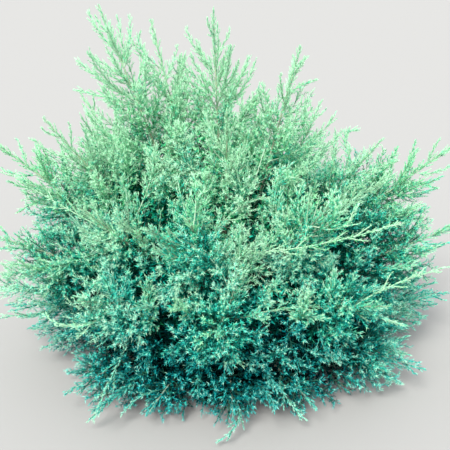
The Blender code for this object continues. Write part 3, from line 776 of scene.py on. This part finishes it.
# stems low down and inside the shrub are darker than those above: painted shade
stemLook = {
    "stems_leader": dict(low=0.0015, high=0.0008, rings=5, colour=(0.38, 0.54, 0.39)),
    "stems_spray": dict(low=0.0016, high=0.0008, rings=5, colour=(0.045, 0.16, 0.11)),
    "stems_pale_twig": dict(low=0.0009, high=0.0005, rings=2, colour=(0.13, 0.42, 0.22)),
    "stems_pale_sprig": dict(low=0.0006, high=0.0004, rings=1, colour=(0.11, 0.44, 0.22)),
    "stems_twig": dict(low=0.0009, high=0.0005, rings=2, colour=(0.030, 0.19, 0.13)),
    "stems_sprig": dict(low=0.0006, high=0.0004, rings=1, colour=(0.020, 0.20, 0.14)),
}
stemRoughness = 0.75
for name, look in stemLook.items():
    points, faces = twigMesh(together(*stems[name]), look["low"], look["high"], look["rings"])
    meshPiece(name, points, faces, plainMaterial(f"{name} bark", look["colour"], stemRoughness), "young_bark",
              massNames)
    print(f"{name}: {len(faces)} triangles")

# strands of bark: sizes and weights of the noise, and the roughness of dark and pale bark
barkNoise = dict(fibreDetail=6.0, fibreRoughness=0.62, plateScale=90.0, plateDetail=2.0, plates=0.4,
                 darkest=0.36, palest=0.64, rough=0.95, smooth=0.72)


# strands of bark: noise drawn out along the limb gives fibres, a coarser one gives plates, and both
# raise the surface where they are pale
def barkGroup():
    group = bpy.data.node_groups.new("strandedBark", "ShaderNodeTree")
    for way, name, kind in (("INPUT", "Place", "Vector"), ("INPUT", "Dark", "Color"), ("INPUT", "Pale", "Color"),
                            ("INPUT", "Fibres", "Float"), ("INPUT", "Stretch", "Float"),
                            ("OUTPUT", "Colour", "Color"), ("OUTPUT", "Height", "Float"),
                            ("OUTPUT", "Roughness", "Float")):
        group.interface.new_socket(name, in_out=way, socket_type=f"NodeSocket{kind}")
    nodes, links = group.nodes, group.links
    given, made = nodes.new("NodeGroupInput"), nodes.new("NodeGroupOutput")
    squash = nodes.new("ShaderNodeCombineXYZ")
    squash.inputs["X"].default_value = squash.inputs["Y"].default_value = 1.0
    links.new(given.outputs["Stretch"], squash.inputs["Z"])
    drawn = nodes.new("ShaderNodeVectorMath")
    drawn.operation = "MULTIPLY"
    links.new(given.outputs["Place"], drawn.inputs[0])
    links.new(squash.outputs["Vector"], drawn.inputs[1])
    fibres, plates = nodes.new("ShaderNodeTexNoise"), nodes.new("ShaderNodeTexNoise")
    fibres.inputs["Detail"].default_value = barkNoise["fibreDetail"]
    fibres.inputs["Roughness"].default_value = barkNoise["fibreRoughness"]
    plates.inputs["Scale"].default_value = barkNoise["plateScale"]
    plates.inputs["Detail"].default_value = barkNoise["plateDetail"]
    links.new(given.outputs["Fibres"], fibres.inputs["Scale"])
    links.new(drawn.outputs["Vector"], fibres.inputs["Vector"])
    links.new(drawn.outputs["Vector"], plates.inputs["Vector"])
    blend = nodes.new("ShaderNodeMix")
    blend.inputs["Factor"].default_value = barkNoise["plates"]
    links.new(fibres.outputs["Fac"], blend.inputs["A"])
    links.new(plates.outputs["Fac"], blend.inputs["B"])
    steep = nodes.new("ShaderNodeMapRange")
    steep.inputs["From Min"].default_value = barkNoise["darkest"]
    steep.inputs["From Max"].default_value = barkNoise["palest"]
    links.new(blend.outputs["Result"], steep.inputs["Value"])
    colour = nodes.new("ShaderNodeMix")
    colour.data_type = "RGBA"
    links.new(steep.outputs["Result"], colour.inputs["Factor"])
    links.new(given.outputs["Dark"], colour.inputs["A"])
    links.new(given.outputs["Pale"], colour.inputs["B"])
    rough = nodes.new("ShaderNodeMapRange")
    rough.inputs["To Min"].default_value = barkNoise["rough"]
    rough.inputs["To Max"].default_value = barkNoise["smooth"]
    links.new(steep.outputs["Result"], rough.inputs["Value"])
    links.new(colour.outputs["Result"], made.inputs["Colour"])
    links.new(steep.outputs["Result"], made.inputs["Height"])
    links.new(rough.outputs["Result"], made.inputs["Roughness"])
    return group


# bark of strands in its own two colours, which gives way to the green of the year's shoot between
# two shares of the limb where young says so
def barkMaterial(name, group, finish, young=None):
    material = bpy.data.materials.new(name)
    material.use_nodes = True
    nodes, links = material.node_tree.nodes, material.node_tree.links
    shader = nodes["Principled BSDF"]
    place = nodes.new("ShaderNodeAttribute")
    place.attribute_name = "barkPlace"
    strands = nodes.new("ShaderNodeGroup")
    strands.node_tree = group
    strands.inputs["Dark"].default_value = (*finish["dark"], 1.0)
    strands.inputs["Pale"].default_value = (*finish["pale"], 1.0)
    strands.inputs["Fibres"].default_value = finish["fibres"]
    strands.inputs["Stretch"].default_value = finish["stretch"]
    bump = nodes.new("ShaderNodeBump")
    bump.inputs["Strength"].default_value = finish["bump"]
    bump.inputs["Distance"].default_value = finish["relief"]
    links.new(place.outputs["Vector"], strands.inputs["Place"])
    links.new(strands.outputs["Roughness"], shader.inputs["Roughness"])
    links.new(strands.outputs["Height"], bump.inputs["Height"])
    links.new(bump.outputs["Normal"], shader.inputs["Normal"])
    colour = strands.outputs["Colour"]
    if young is not None:
        share = nodes.new("ShaderNodeAttribute")
        share.attribute_name = "limbShare"
        ripen = nodes.new("ShaderNodeMapRange")
        ripen.interpolation_type = "SMOOTHSTEP"
        ripen.inputs["From Min"].default_value = young["start"]
        ripen.inputs["From Max"].default_value = young["end"]
        turn = nodes.new("ShaderNodeMix")
        turn.data_type = "RGBA"
        turn.inputs["B"].default_value = (*young["colour"], 1.0)
        links.new(share.outputs["Fac"], ripen.inputs["Value"])
        links.new(ripen.outputs["Result"], turn.inputs["Factor"])
        links.new(colour, turn.inputs["A"])
        colour = turn.outputs["Result"]
    links.new(colour, shader.inputs["Base Color"])
    return material


limbForm = dict(
    rings=48, sides=10, foot=0.0055, twig=0.0032, tip=0.0009,       # radii at the foot, the foliage and the tip
    ridges=((0.06, 3, 9), (0.05, 5, -31)),      # depth against the radius, number round the limb, winding
)
limbFinish = dict(dark=(0.120, 0.095, 0.065), pale=(0.360, 0.285, 0.200), fibres=700.0, stretch=0.12, bump=0.6,
                  relief=0.0015)
youngStem = dict(start=0.30, end=0.62, colour=(0.400, 0.390, 0.290))


# limb from foot to tip: rings round its line, whose radius tapers to the foliage and on to the tip,
# with ridges of bark that wind along it as sines of the angle and the share
def limbMesh(limb):
    rings, sides, start = limbForm["rings"], limbForm["sides"], growth["massStart"]
    u = np.linspace(0, 1, rings)
    radius = np.interp(u, [0, start, 1], [limbForm["foot"], limbForm["twig"], limbForm["tip"]])[:, None]
    middle, stem = along(limb["line"], u), heading(limb["line"], u)
    side, other = squareAxes(stem)
    angle = np.broadcast_to(np.arange(sides) * 2 * math.pi / sides, (rings, sides))
    (deep, many, wind), (deepToo, manyToo, windToo) = limbForm["ridges"]
    ridge = 1 + deep * np.sin(many * angle + wind * u[:, None] + limb["index"]) \
        + deepToo * np.sin(manyToo * angle + windToo * u[:, None])
    points = middle[:, None] + (radius * ridge)[..., None] * circleOf(angle, side[:, None], other[:, None])
    span = np.linalg.norm(limb["line"][2] - limb["line"][0])
    place = np.stack(np.broadcast_arrays(radius * np.cos(angle), radius * np.sin(angle),
                                         (u * span + limb["index"])[:, None]), axis=-1)
    return points.reshape(-1, 3), gridFaces(rings, sides), place.reshape(-1, 3), np.repeat(u, sides)


strandedBark = barkGroup()
points, faces, places, shares = zip(*[limbMesh(limb) for limb in limbs])
faces = np.concatenate([some + i * len(points[0]) for i, some in enumerate(faces)])
meshPiece("limbs_bark", np.concatenate(points), faces, barkMaterial("limb bark", strandedBark, limbFinish, youngStem),
          "young_bark", [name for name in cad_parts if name.startswith("bough_")],
          barkPlace=np.concatenate(places), limbShare=np.concatenate(shares))
print(f"limbs_bark: {len(faces)} triangles")

trunkForm = dict(
    rings=90, sides=96, radius=0.026, taper=0.06,
    flare=0.014, flareHeight=0.022, lobes=5, lobeDepth=0.10,       # the root flare and its lobes
    strips=17, stripDepth=0.0009, cap=0.002,                       # strips of bark, and the rise of the top
)
trunkFinish = dict(dark=(0.060, 0.034, 0.022), pale=(0.270, 0.165, 0.115), fibres=420.0, stretch=0.12, bump=0.9,
                   relief=0.0015)


# trunk: rings round its leaning middle, whose radius tapers and swells towards the ground by the
# exponential of the height, in lobes, with strips of bark as crossed sines, and closed at both ends
def trunkMesh():
    rings, sides, top = trunkForm["rings"], trunkForm["sides"], growth["trunkHeight"]
    z = np.linspace(0, top, rings)[:, None]
    angle = (np.arange(sides) * 2 * math.pi / sides)[None]
    flare = np.exp(-z / trunkForm["flareHeight"])
    radius = trunkForm["radius"] * (1 - trunkForm["taper"] * z / top) + trunkForm["flare"] * flare
    radius = radius * (1 + trunkForm["lobeDepth"] * flare * np.cos(trunkForm["lobes"] * angle))
    strips = np.sin(trunkForm["strips"] * angle + 3 * np.sin(40 * z + 2 * angle)) \
        * np.sin(60 * z + 4 * np.cos(3 * angle))
    radius = radius + trunkForm["stripDepth"] * strips
    lean = (z / top) ** growth["leanPower"]
    x = growth["trunkLean"][0] * lean + radius * np.cos(angle)
    y = growth["trunkLean"][1] * lean + radius * np.sin(angle)
    points = np.stack([x, y, np.broadcast_to(z, x.shape)], axis=-1).reshape(-1, 3)
    j = np.arange(sides)
    k = (j + 1) % sides
    last, end = (rings - 1) * sides, np.full(sides, len(points))
    cap = np.stack([last + j, last + k, end], axis=-1)
    foot = np.stack([k, j, end + 1], axis=-1)
    points = np.concatenate([points, [(*growth["trunkLean"], top + trunkForm["cap"]), (0.0, 0.0, 0.0)]])
    return points, np.concatenate([gridFaces(rings, sides), cap, foot])


points, faces = trunkMesh()
meshPiece("trunk_bark", points, faces, barkMaterial("trunk bark", strandedBark, trunkFinish), "bark", ["trunk"],
          barkPlace=points)
print(f"trunk_bark: {len(faces)} triangles")

stage = dict(
    floorHalf=60.0, floorColour=(0.31, 0.305, 0.30), floorRoughness=0.9,
    skyColour=(0.92, 0.96, 1.0), skyStrength=1.4,
    sunStrength=5.0, sunWidth=25, sunColour=(1.0, 0.98, 0.93), sunTurn=(32, -18, 0),
)
half = stage["floorHalf"]
floorMesh = bpy.data.meshes.new("floor")
floorMesh.from_pydata([(-half, -half, 0), (half, -half, 0), (half, half, 0), (-half, half, 0)], [], [(0, 1, 2, 3)])
floorMesh.materials.append(plainMaterial("pale floor", stage["floorColour"], stage["floorRoughness"]))
floor = bpy.data.objects.new("floor", floorMesh)
bpy.context.scene.collection.objects.link(floor)

world = bpy.data.worlds.new("studio")
world.use_nodes = True
world.node_tree.nodes["Background"].inputs["Color"].default_value = (*stage["skyColour"], 1.0)
world.node_tree.nodes["Background"].inputs["Strength"].default_value = stage["skyStrength"]
bpy.context.scene.world = world

sunData = bpy.data.lights.new("sun", "SUN")
sunData.energy = stage["sunStrength"]
sunData.angle = math.radians(stage["sunWidth"])
sunData.color = stage["sunColour"]
sun = bpy.data.objects.new("sun", sunData)
sun.rotation_euler = [math.radians(turn) for turn in stage["sunTurn"]]
bpy.context.scene.collection.objects.link(sun)

lens = dict(elevation=27.0, distance=1.85, aim=(0.0, 0.0, 0.350), millimetres=63.2)
cameraData = bpy.data.cameras.new("camera")
cameraData.lens = lens["millimetres"]
camera = bpy.data.objects.new("camera", cameraData)
rise = math.radians(lens["elevation"])
camera.location = (lens["aim"][0], lens["aim"][1] - lens["distance"] * math.cos(rise),
                   lens["aim"][2] + lens["distance"] * math.sin(rise))
camera.rotation_euler = (math.pi / 2 - rise, 0, 0)
bpy.context.scene.collection.objects.link(camera)
bpy.context.scene.camera = camera
bpy.context.scene.view_settings.view_transform = "Standard"
